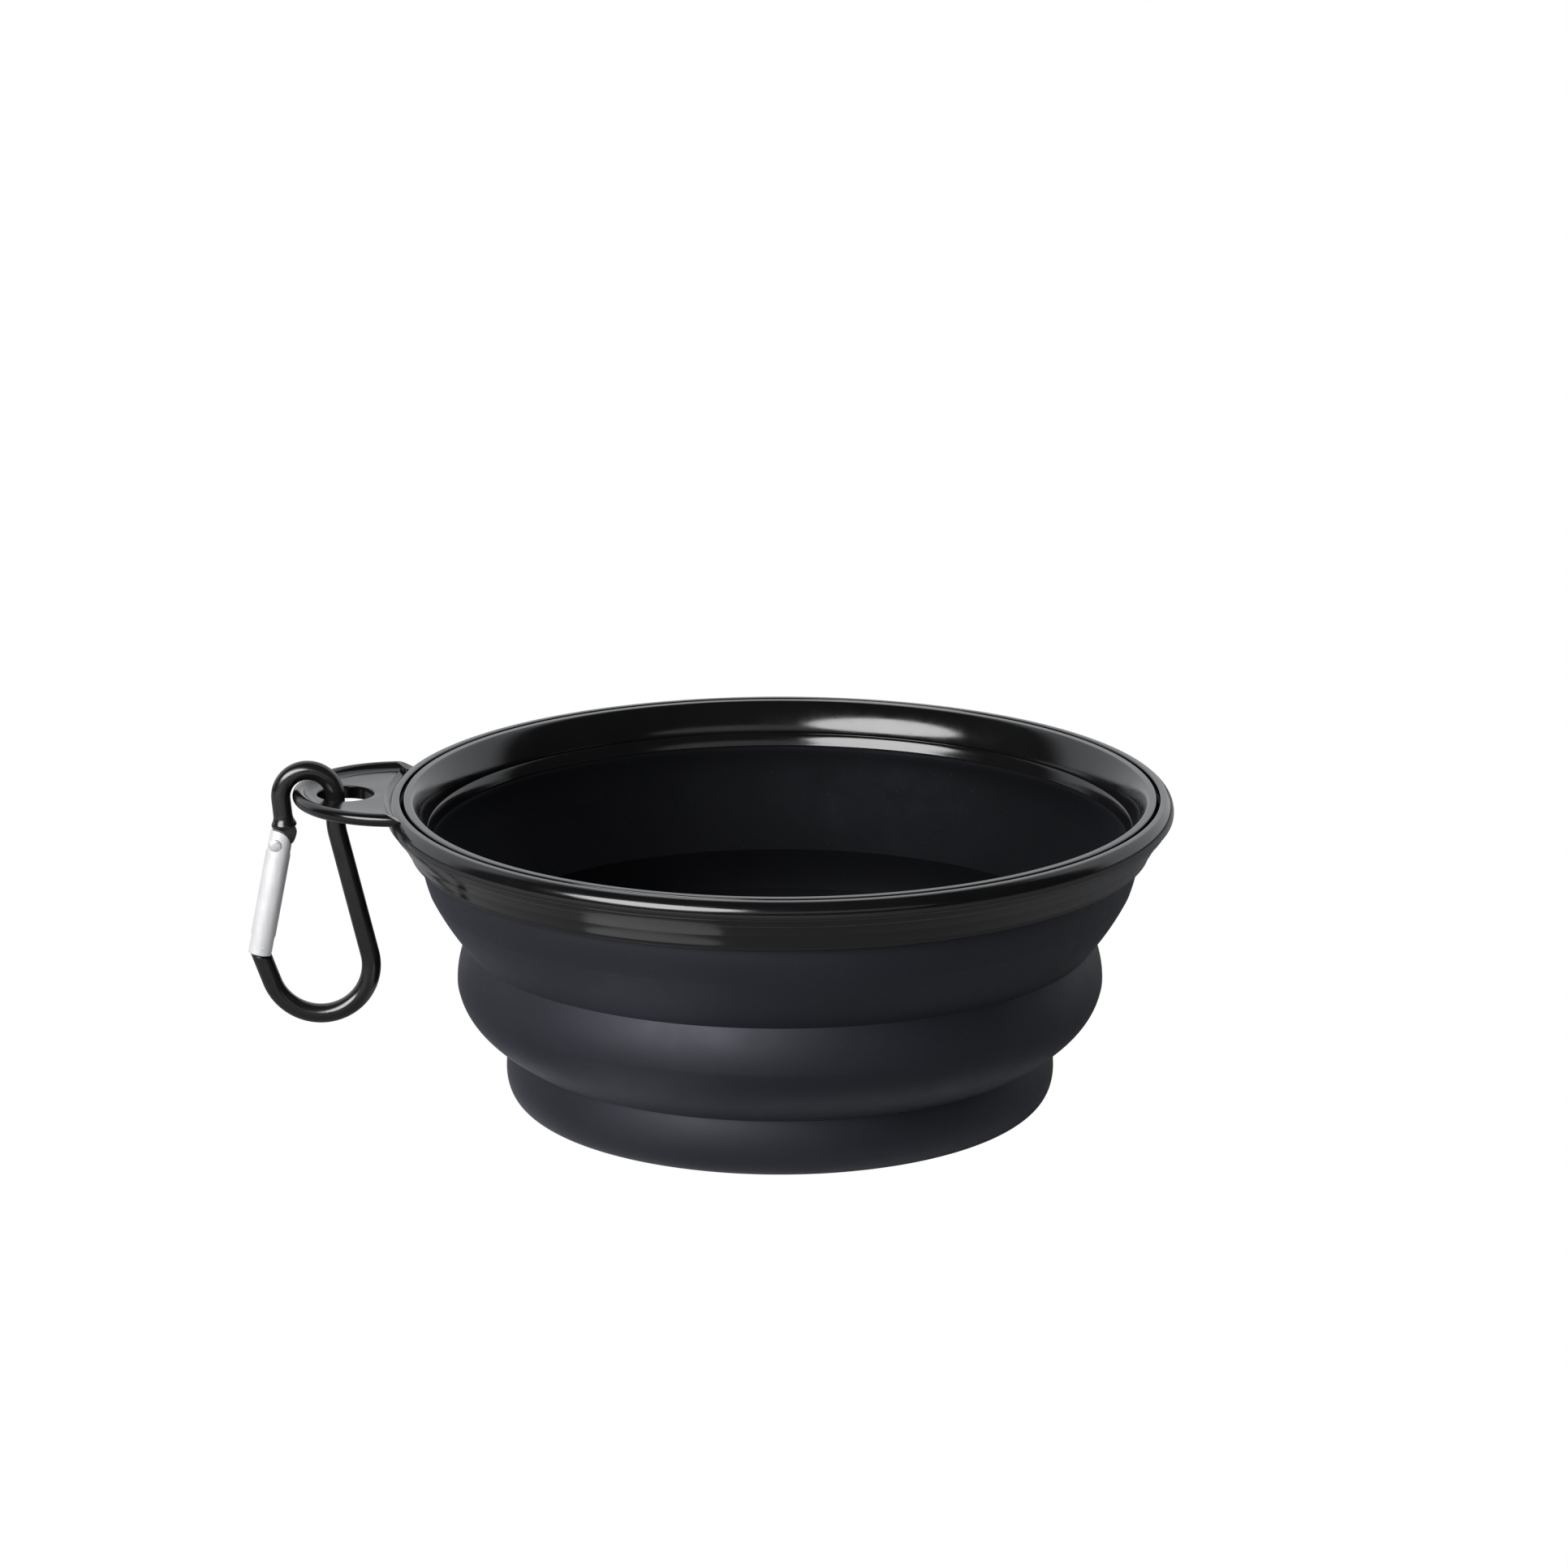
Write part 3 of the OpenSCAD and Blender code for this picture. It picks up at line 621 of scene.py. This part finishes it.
def make_ear():
    """The ear: a disc with a beaded edge, bored, cut at the rim and let into its roll."""
    top = EAR_BEAD_Z
    under = EAR_BEAD_Z - EAR_PLATE_T
    r = EAR_BEAD_RING_R
    start = math.degrees(math.asin((under - top) / EAR_BEAD_R))
    outline = [(0.0, top), (8.0, top)]
    outline += [(r - a, top + h) for a, h in ((2.4, 0.0), (2.0, 0.04), (1.6, 0.16), (1.25, 0.34))]
    outline += arc((r, top), (EAR_BEAD_R, EAR_BEAD_R), 150, 0, 18)
    outline += arc((r, top), (EAR_BEAD_R, EAR_BEAD_R), -8, -180 - start, 18)[:-1]
    outline += [(r - 0.55, under), (r - 0.9, under), (8.0, under), (0.0, under)]
    ear = revolve("ear_plate", outline, 220, (EAR_X, 0.0))
    boss_r = EAR_HOLE_R + EAR_BOSS_W
    low = under - EAR_BOSS_H
    boss = [(0.0, top - 0.5), (boss_r, top - 0.5), (boss_r, low + 0.2), (boss_r - 0.06, low + 0.06),
            (boss_r - 0.2, low), (0.0, low)]
    boolean(ear, revolve("cutter", boss, 96, (EAR_HOLE_X, 0.0)), "UNION")
    wide = EAR_HOLE_R + EAR_HOLE_ROUND
    edge = (EAR_HOLE_ROUND, EAR_HOLE_ROUND)
    hole = [(0.0, top + 2), (wide, top + 2)]
    hole += arc((wide, top - EAR_HOLE_ROUND), edge, 90, 180, 6)
    hole += arc((wide, low + EAR_HOLE_ROUND), edge, 180, 270, 6)
    hole += [(wide, low - 2), (0.0, low - 2)]
    boolean(ear, revolve("cutter", hole, 96, (EAR_HOLE_X, 0.0)))
    boolean(ear, revolve("cutter", column(EAR_ROOT_R, *CUTTER_Z), CUT_SIDES))
    beside_roll = [(62.0, 51.95), (64.6, 51.95), (65.0, 52.12), (65.3, 52.42), (65.45, 54.5), (62.0, 54.5)]
    groove = revolve("groove", beside_roll, CUT_SIDES)
    inside_bead = column(EAR_BEAD_RING_R - EAR_BEAD_R, *CUTTER_Z)
    boolean(groove, revolve("cutter", inside_bead, 96, (EAR_X, 0.0)), "INTERSECT")
    boolean(ear, groove)
    bead_end = [(62.0, 52.33), (64.0, 52.33), (64.6, 52.6), (65.3, 53.0), (66.0, 53.4), (66.5, 53.56),
                (62.0, 53.8)]
    boolean(ear, revolve("cutter", bead_end, CUT_SIDES))
    shade(ear.data, 40)
    return ear


ear_plate = make_ear()
dress(ear_plate, rim_material, "rim", ("rim_ring",))


# Snap hook: the wire with its collar and nose, the hinge tongue and the latch tongue

def tube(name, stations, sides=40):
    """A round tube through stations of (middle point, direction across, radius) in the hook's plane."""
    work = bmesh.new()
    rings = []
    for c, n, r in stations:
        ring = []
        for k in range(sides):
            a = 2 * math.pi * k / sides
            x = c[0] + r * math.cos(a) * n[0]
            z = c[1] + r * math.cos(a) * n[1]
            ring.append(work.verts.new((x * MM, r * math.sin(a) * MM, z * MM)))
        rings.append(ring)
    for a, b in zip(rings[:-1], rings[1:]):
        for k in range(sides):
            m = (k + 1) % sides
            work.faces.new((a[k], a[m], b[m], b[k]))
    work.faces.new(rings[0][::-1])
    work.faces.new(rings[-1])
    bmesh.ops.recalc_face_normals(work, faces=work.faces)
    piece = finish_mesh(name, work)
    shade(piece.data, 40)
    return piece


def direction(angle):
    """Unit vector at an angle in degrees from +X towards +Z."""
    return np.array([math.cos(math.radians(angle)), math.sin(math.radians(angle))])


LEG_N = -direction(LEG_LEAN)
LEG_RUN = np.array([math.sin(math.radians(LEG_LEAN)), -math.cos(math.radians(LEG_LEAN))])
LEG_END = TOP_C + TOP_BEND_R * LEG_N + LEG_LEN * LEG_RUN
NOSE_N = -direction(NOSE_LEAN)
NOSE_RUN = np.array([-math.sin(math.radians(NOSE_LEAN)), math.cos(math.radians(NOSE_LEAN))])
NOSE_END = BOTTOM_C + BOTTOM_BEND_R * NOSE_N + NOSE_LEN * NOSE_RUN
TO_NOSE = NOSE_END - HINGE_C
GATE_LEAN = math.atan2(-TO_NOSE[0], -TO_NOSE[1]) + math.asin(NOSE_X / np.linalg.norm(TO_NOSE))
GATE_AXIS = np.array([-math.sin(GATE_LEAN), -math.cos(GATE_LEAN)])
GATE_SIDE = np.array([math.cos(GATE_LEAN), -math.sin(GATE_LEAN)])
NOSE_DEPTH = float(TO_NOSE @ GATE_AXIS)
GATE_END_DEPTH = NOSE_DEPTH - 0.3
LATCH_DEPTH = GATE_END_DEPTH - 1.3


def hook_stations():
    """Middle points, directions across and radii along the wire, from the collar to the nose."""
    out = []
    for back, r in ((0.0, 1.8), (0.05, 1.96), (0.15, 2.06), (0.3, COLLAR_R), (0.5, 2.08), (0.75, 1.96),
                    (1.0, 1.83), (1.3, 1.7), (1.6, 1.63), (2.0, WIRE_R), (2.8, WIRE_R)):
        out.append((LEG_END - back * LEG_RUN, LEG_N, r))
    for a in np.linspace(180 + LEG_LEAN, 0, 90):
        n = direction(a)
        out.append((TOP_C + TOP_BEND_R * n, n, WIRE_R))
    spine_foot = BOTTOM_C + BOTTOM_BEND_R * direction(SPINE_LEAN)
    spine_x = TOP_C[0] + TOP_BEND_R
    lean = math.radians(SPINE_LEAN)
    up_spine = np.array([-math.sin(lean), math.cos(lean)])
    corner = spine_foot + (spine_foot[0] - spine_x) / math.sin(lean) * up_spine
    waist_c = np.array([spine_x + WAIST_BEND_R, corner[1] + WAIST_BEND_R * math.tan(lean / 2)])
    for a in np.linspace(0, SPINE_LEAN, 10):
        n = direction(a)
        out.append((waist_c - WAIST_BEND_R * n, n, WIRE_R))
    for a in np.linspace(SPINE_LEAN, NOSE_LEAN - 180, 110):
        n = direction(a)
        out.append((BOTTOM_C + BOTTOM_BEND_R * n, n, WIRE_R))
    cut_n = NOSE_N - NOSE_RUN * (NOSE_N @ GATE_AXIS) / (NOSE_RUN @ GATE_AXIS)
    for back, n, r in ((0.5, NOSE_N, WIRE_R), (0.12, cut_n, WIRE_R), (0.03, cut_n, WIRE_R - 0.04),
                       (0.0, cut_n, WIRE_R - 0.13)):
        out.append((NOSE_END - back * NOSE_RUN, n, r))
    return out


def slab(name, outline, thick, bevel):
    """A flat piece in the hook's plane with softened edges. The outline's points are (x, z)."""
    work = bmesh.new()
    verts = [work.verts.new((x * MM, -thick / 2 * MM, z * MM)) for x, z in outline]
    face = work.faces.new(verts)
    side = bmesh.ops.extrude_face_region(work, geom=[face])["geom"]
    moved = [v for v in side if isinstance(v, bmesh.types.BMVert)]
    bmesh.ops.translate(work, verts=moved, vec=(0, thick * MM, 0))
    bmesh.ops.recalc_face_normals(work, faces=work.faces)
    flat = [e for e in work.edges if abs(e.verts[0].co.y - e.verts[1].co.y) < 1e-9]
    bmesh.ops.bevel(work, geom=flat, offset=bevel * MM, segments=2, affect="EDGES", profile=0.5)
    piece = finish_mesh(name, work)
    shade(piece.data, 35)
    return piece


def on_gate(across, depth):
    """A point given across the gate (+ is towards the loop) and down from the hinge pin."""
    return HINGE_C + GATE_SIDE * across + GATE_AXIS * depth


hook_wire = tube("hook_wire", hook_stations())
dress(hook_wire, hook_material, "hook", ("hook_body",))

root = LEG_END - 0.5 * LEG_RUN
hinge_outline = [tuple(HINGE_C + TONGUE_R * direction(a)) for a in np.linspace(-58, -180, 14)]
hinge_outline += [tuple(root + WIRE_R * LEG_N), tuple(root - WIRE_R * LEG_N)]
hinge_outline += [tuple(HINGE_C + np.array(p)) for p in HEEL]
hinge_tongue = slab("hook_hinge_tongue", rounded(hinge_outline, 0.35), TONGUE_T, 0.16)
dress(hinge_tongue, hook_material, "hook")

latch_outline = [tuple(on_gate(NOSE_X + a, NOSE_DEPTH + d)) for a, d in (
    (-1.2, 0.8), (-1.2, -2.2), (-0.8, -2.85), (-0.4, -3.0), (0.8, -3.0), (1.1, -2.9), (1.2, -2.6))]
latch_outline += [tuple(on_gate(NOSE_X + a, LATCH_DEPTH + d)) for a, d in (
    (1.2, -NOTCH_R - 0.18), (0.0, -NOTCH_R), (-0.4, -NOTCH_R * 0.7), (-0.55, 0.0),
    (-0.4, NOTCH_R * 0.7), (0.0, NOTCH_R), (1.2, NOTCH_R))]
latch_outline.append(tuple(on_gate(NOSE_X + 1.2, NOSE_DEPTH + 0.8)))
latch_tongue = slab("hook_latch_tongue", latch_outline, TONGUE_T, 0.06)
dress(latch_tongue, hook_material, "hook")


# Gate: a rod with a rounded top, a slot at each end and a bore, drawn upright and then set on its axis

gate_frame = Matrix.Translation((HINGE_C[0] * MM, 0, HINGE_C[1] * MM)) @ Matrix.Rotation(GATE_LEAN, 4, "Y")


def box_mesh(name, low, high):
    """A box between two corners."""
    work = bmesh.new()
    bmesh.ops.create_cube(work, size=1.0)
    size = Vector(high) - Vector(low)
    middle = (Vector(high) + Vector(low)) / 2
    bmesh.ops.scale(work, verts=work.verts, vec=size * MM)
    bmesh.ops.translate(work, verts=work.verts, vec=middle * MM)
    return finish_mesh(name, work)


def make_gate():
    """The rod, crowned about the hinge pin, slotted at both ends, bored for the spring and bevelled."""
    low = -GATE_END_DEPTH
    outline = [(0.0, low)]
    outline += arc((GATE_R - GATE_EDGE_R, low + GATE_EDGE_R), (GATE_EDGE_R, GATE_EDGE_R), -90, 0, 5)
    outline += [(GATE_R, GATE_TOP_R + 1), (0.0, GATE_TOP_R + 1)]
    gate = revolve("gate_rod", outline, 80, (GATE_SHIFT, 0.0))
    crown = revolve("cutter", column(GATE_TOP_R, -5.0, 5.0), 120)
    crown.data.transform(Matrix.Rotation(math.pi / 2, 4, "X"))
    boolean(crown, box_mesh("cutter", (-5, -5, low - 1), (5, 5, 0.0)), "UNION")
    boolean(gate, crown, "INTERSECT")
    boolean(gate, box_mesh("cutter", (-5, -SLOT_HALF, -HINGE_SLOT_DEPTH), (5, SLOT_HALF, 5)))
    latch_slot_top = LATCH_SLOT_RUN - NOSE_DEPTH
    boolean(gate, box_mesh("cutter", (-5, -SLOT_HALF, low - 1), (5, SLOT_HALF, latch_slot_top)))
    boolean(gate, revolve("cutter", column(GATE_BORE_R, GATE_BORE_END, 0.0), 40, (GATE_SHIFT, 0.0)))
    gate.data.transform(gate_frame)
    shade(gate.data, 32)
    modifier = gate.modifiers.new("edges", "BEVEL")
    modifier.width = GATE_BEVEL * MM
    modifier.segments = 2
    modifier.limit_method = "ANGLE"
    modifier.angle_limit = math.radians(40)
    modifier.harden_normals = True
    bake_modifiers(gate)
    return gate


gate_rod = make_gate()
dress(gate_rod, gate_material, "gate", ("gate",))


def rivet(name, node, across, depth, shank_r, head_r, head_h, reach):
    """A rivet through the gate with domed heads, whose undersides are at reach on both sides."""
    dome = ((0.0, 1.0), (0.45, 0.92), (0.8, 0.66), (0.96, 0.3))
    half = [(head_r * a, reach + head_h * h) for a, h in dome]
    half += [(head_r, reach + 0.02), (head_r, reach), (shank_r, reach)]
    outline = half + [(r, -z) for r, z in half[::-1]]
    piece = revolve(name, outline, 48)
    place = Matrix.Translation((across * MM, 0, -depth * MM)) @ Matrix.Rotation(math.pi / 2, 4, "X")
    piece.data.transform(gate_frame @ place)
    shade(piece.data, 50)
    dress(piece, steel_material, "gate", (node,))


rivet("hinge_rivet", "gate_hinge_pin", across=0.0, depth=0.0,
      shank_r=0.6, head_r=1.05, head_h=0.25, reach=2.07)
rivet("latch_rivet", "gate_latch_pin", across=NOSE_X, depth=LATCH_DEPTH,
      shank_r=0.45, head_r=0.45, head_h=0.06, reach=1.99)

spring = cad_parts["gate_spring"]
spring.data.materials.clear()
spring.data.materials.append(steel_material)


# Studio. The camera sees plain white all round. The light comes from a wide softbox at the front left,
# a low strip in front, a small card beside the foot, a white wall behind and the pale table. Overhead and
# at the sides the studio is dark.

def stage_mesh(name, build):
    """A piece of the studio; build adds its faces."""
    work = bmesh.new()
    build(work)
    piece = finish_mesh(name, work)
    return piece


def make_table():
    """The pale table under the bowl, which lights it from below, in rings of different tone: a darker ring
    round the bowl is painted shadow, and the brighter middle under it is painted light.
    """
    piece = stage_mesh("studio_table", lambda work: bmesh.ops.create_circle(
        work, cap_ends=True, segments=96, radius=TABLE_R))
    piece.location.z = -0.00004
    material, nodes, links, out = shader("table_paper", Roughness=0.9, Specular_IOR_Level=0.0)
    away = nodes.new("ShaderNodeVectorMath")
    away.operation = "LENGTH"
    links.new(object_coordinates(nodes, links), away.inputs[0])
    # Rings of tone: painted shadow round the bowl, painted light under it
    painted_rings = nodes.new("ShaderNodeValToRGB")
    stops = painted_rings.color_ramp.elements
    for place, tone in TABLE_SHADE_AND_LIGHT_TONES[1:-1]:
        stops.new(place).color = (*tone, 1.0)
    for end in (0, -1):
        stops[end].position, stops[end].color = TABLE_SHADE_AND_LIGHT_TONES[end][0], (*TABLE_SHADE_AND_LIGHT_TONES[end][1], 1.0)
    links.new(away.outputs["Value"], painted_rings.inputs["Fac"])
    links.new(painted_rings.outputs["Color"], out.inputs["Base Color"])
    piece.data.materials.append(material)
    piece.visible_camera = False


def make_surround():
    """White floor and dome around everything, seen by the camera alone."""
    def build(work):
        bmesh.ops.create_circle(work, cap_ends=True, segments=96, radius=SURROUND_R)
        bmesh.ops.create_uvsphere(work, u_segments=64, v_segments=32, radius=SURROUND_R)
    piece = stage_mesh("studio_surround", build)
    piece.location.z = -0.00002
    material = bpy.data.materials.new("surround_white")
    material.use_nodes = True
    nodes, links = material.node_tree.nodes, material.node_tree.links
    nodes.remove(nodes["Principled BSDF"])
    glow = nodes.new("ShaderNodeEmission")
    links.new(glow.outputs["Emission"], nodes["Material Output"].inputs["Surface"])
    piece.data.materials.append(material)
    piece.visible_diffuse = False
    piece.visible_glossy = False
    piece.visible_transmission = False
    piece.visible_volume_scatter = False
    piece.visible_shadow = False


def softbox(name, azimuth, elevation, distance, size, radiance):
    """Elliptical light at an azimuth from the camera's side, + to its right, that faces LIGHT_AIM."""
    light = bpy.data.lights.new(name, "AREA")
    light.shape = "ELLIPSE"
    light.size, light.size_y = size
    light.energy = radiance * math.pi * size[0] * size[1] * math.pi / 4
    piece = make_object(name, light)
    a, e = math.radians(azimuth), math.radians(elevation)
    out = Vector((math.sin(a) * math.cos(e), -math.cos(a) * math.cos(e), math.sin(e)))
    piece.location = Vector(LIGHT_AIM) + out * distance
    piece.rotation_euler = (-out).to_track_quat("-Z", "Y").to_euler()
    piece.visible_camera = False
    return piece


def make_world():
    """White wall behind up to 70 degrees, dark everywhere else."""
    world = bpy.data.worlds.new("studio")
    bpy.context.scene.world = world
    world.use_nodes = True
    nodes, links = world.node_tree.nodes, world.node_tree.links
    coordinates = nodes.new("ShaderNodeTexCoord")
    split = nodes.new("ShaderNodeSeparateXYZ")
    links.new(coordinates.outputs["Generated"], split.inputs["Vector"])
    behind = span(nodes, links, split.outputs["Y"], 0.0, 1.0, *WALL_EDGE)
    low = span(nodes, links, split.outputs["Z"], 1.0, 0.0, 0.92, 0.96)
    above = span(nodes, links, split.outputs["Z"], 0.0, 1.0, -0.02, 0.0)
    factor = behind
    for part in (low, above):
        product = nodes.new("ShaderNodeMath")
        product.operation = "MULTIPLY"
        links.new(factor, product.inputs[0])
        links.new(part, product.inputs[1])
        factor = product.outputs["Value"]
    background = nodes["Background"]
    background.inputs["Color"].default_value = (0.95, 0.97, 1.0, 1.0)
    links.new(span(nodes, links, factor, DARK, WALL, 0.0, 1.0), background.inputs["Strength"])


make_table()
make_surround()
make_world()
softbox("key_softbox", azimuth=-37, elevation=25, distance=1.0, size=(0.92, 0.50), radiance=13.0)
softbox("front_strip", azimuth=12, elevation=16.5, distance=1.3, size=(1.6, 0.27), radiance=0.65)
card = softbox("bounce_card", azimuth=0, elevation=90, distance=0.0, size=(0.044, 0.020), radiance=0.72)
card.location = (-0.036, -0.055, 0.0005)
card.rotation_euler = (math.pi, 0.0, math.radians(-30))

# Camera at the photograph's angle, looking along +Y at the middle of the rim
camera_data = bpy.data.cameras.new("camera")
camera_data.sensor_width = SENSOR_W
camera_data.lens = PIXELS_PER_M * DISTANCE / FRAME_PIXELS * SENSOR_W
camera = make_object("camera", camera_data)
view_out = Vector((0, -math.cos(ELEVATION), math.sin(ELEVATION)))
view_up = Vector((0, math.sin(ELEVATION), math.cos(ELEVATION)))
offset = Vector((SHIFT_PIXELS[0] / PIXELS_PER_M, 0, 0)) + view_up * (SHIFT_PIXELS[1] / PIXELS_PER_M)
camera.location = Vector((0, 0, RIM_Z * MM)) + view_out * DISTANCE + offset
camera.rotation_euler = view_out.to_track_quat("Z", "Y").to_euler()
bpy.context.scene.camera = camera

bpy.context.scene.view_settings.view_transform = "Standard"
